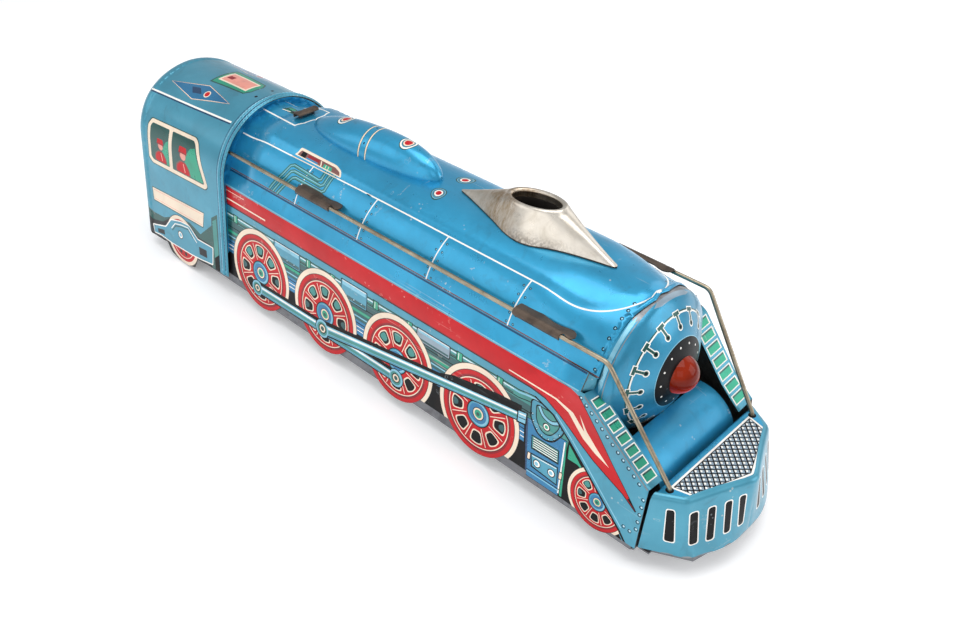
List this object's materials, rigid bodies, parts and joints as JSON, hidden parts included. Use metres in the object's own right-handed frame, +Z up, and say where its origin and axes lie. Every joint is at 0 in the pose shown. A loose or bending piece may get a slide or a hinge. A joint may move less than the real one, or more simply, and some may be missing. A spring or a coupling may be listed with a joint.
{
  "type": "tin toy train",
  "caption": "Pressed tin toy steam locomotive with printed sides, flared plated stack, red headlamp lens, wire handrails and a swivelling battery drive unit under the body.",
  "frame": {"origin": "on the floor under the middle of the train", "axes": "+X forward towards the pilot, +Y to the train's left, +Z up"},
  "size_m": [0.3855, 0.0888, 0.118],
  "materials": {
    "blue_tin": "glossy metallic blue lacquer, scratched",
    "printed_tin": "glossy printed tin in blue, teal, red, cream and black",
    "dark_tin": "dark grey tin, worn",
    "brown_tin": "dull brown tarnished tin",
    "plated": "nickel plate, tarnished",
    "wire": "brassy tarnished wire",
    "steel": "bare steel",
    "brass_part": "bare brass",
    "red_lens": "translucent red, glossy",
    "clear_glass": "clear",
    "black_plastic": "insulated wire",
    "cell_case": "plain jacketed dry cell",
    "rubber": "black rubber ring"
  },
  "bodies": {
    "train": {"boiler_shell": "blue_tin", "side_panel_right": "printed_tin", "side_panel_left": "printed_tin", "cab_shell": "blue_tin", "cab_front": "dark_tin", "cab_back": "blue_tin", "steam_dome": "blue_tin", "smokestack": "plated", "smokebox_front": "blue_tin", "headlamp_lens": "red_lens", "headlamp_bulb": "clear_glass", "bulb_socket": "brass_part", "lamp_lead": "black_plastic", "front_apron": "blue_tin", "pilot": "blue_tin", "handrail_right": "wire", "handrail_left": "wire", "handrail_brackets": "brown_tin", "switch_contact": "brass_part", "base_plate": "dark_tin", "base_screws": "steel", "battery_box": "steel", "batteries": "cell_case", "battery_contacts": "brass_part", "door_hinge_pin": "steel", "turntable_bridge": "steel", "rear_axle_bracket": "steel"},
    "drive_unit": {"bogie_frame": "steel", "pivot_clip": "steel", "motor_can": "steel", "layshaft": "steel"},
    "drive_set": {"drive_axle": "steel", "drive_wheels": "dark_tin", "drive_tyres": "rubber", "axle_gear": "brass_part"},
    "idler": {"compound_gear": "brass_part"},
    "rotor": {"motor_pinion": "brass_part"},
    "rear_set": {"rear_axle": "steel", "rear_wheels": "dark_tin"},
    "door": {"battery_door": "dark_tin"},
    "switch": {"switch_lever": "brown_tin"}
  },
  "joints": [
    {"name": "drive_unit_swivel", "type": "hinge", "parent": "train", "child": "drive_unit", "pos_m": [0.07, 0, 0.05], "axis": [0, 0, 1], "continuous": true},
    {"name": "drive_axle_spin", "type": "hinge", "parent": "drive_unit", "child": "drive_set", "pos_m": [0.07, 0, 0.015], "axis": [0, 1, 0], "continuous": true},
    {"name": "compound_gear_spin", "type": "hinge", "parent": "drive_unit", "child": "idler", "pos_m": [0.07, 0, 0.031], "axis": [0, 1, 0], "continuous": true},
    {"name": "motor_spin", "type": "hinge", "parent": "drive_unit", "child": "rotor", "pos_m": [0.087, 0, 0.031], "axis": [0, 1, 0], "continuous": true},
    {"name": "rear_axle_spin", "type": "hinge", "parent": "train", "child": "rear_set", "pos_m": [-0.15, 0, 0.013], "axis": [0, 1, 0], "continuous": true},
    {"name": "battery_door_hinge", "type": "hinge", "parent": "train", "child": "door", "pos_m": [-0.113, 0, 0.0059], "axis": [0, 1, 0], "range_deg": [0, 95]},
    {"name": "switch_slide", "type": "slide", "parent": "train", "child": "switch", "axis": [1, 0, 0], "range_m": [0, 0.005]}
  ],
  "couplings": [
    {"joint": "compound_gear_spin", "follows": "drive_axle_spin", "ratio": -2.2},
    {"joint": "motor_spin", "follows": "drive_axle_spin", "ratio": 5.28}
  ]
}
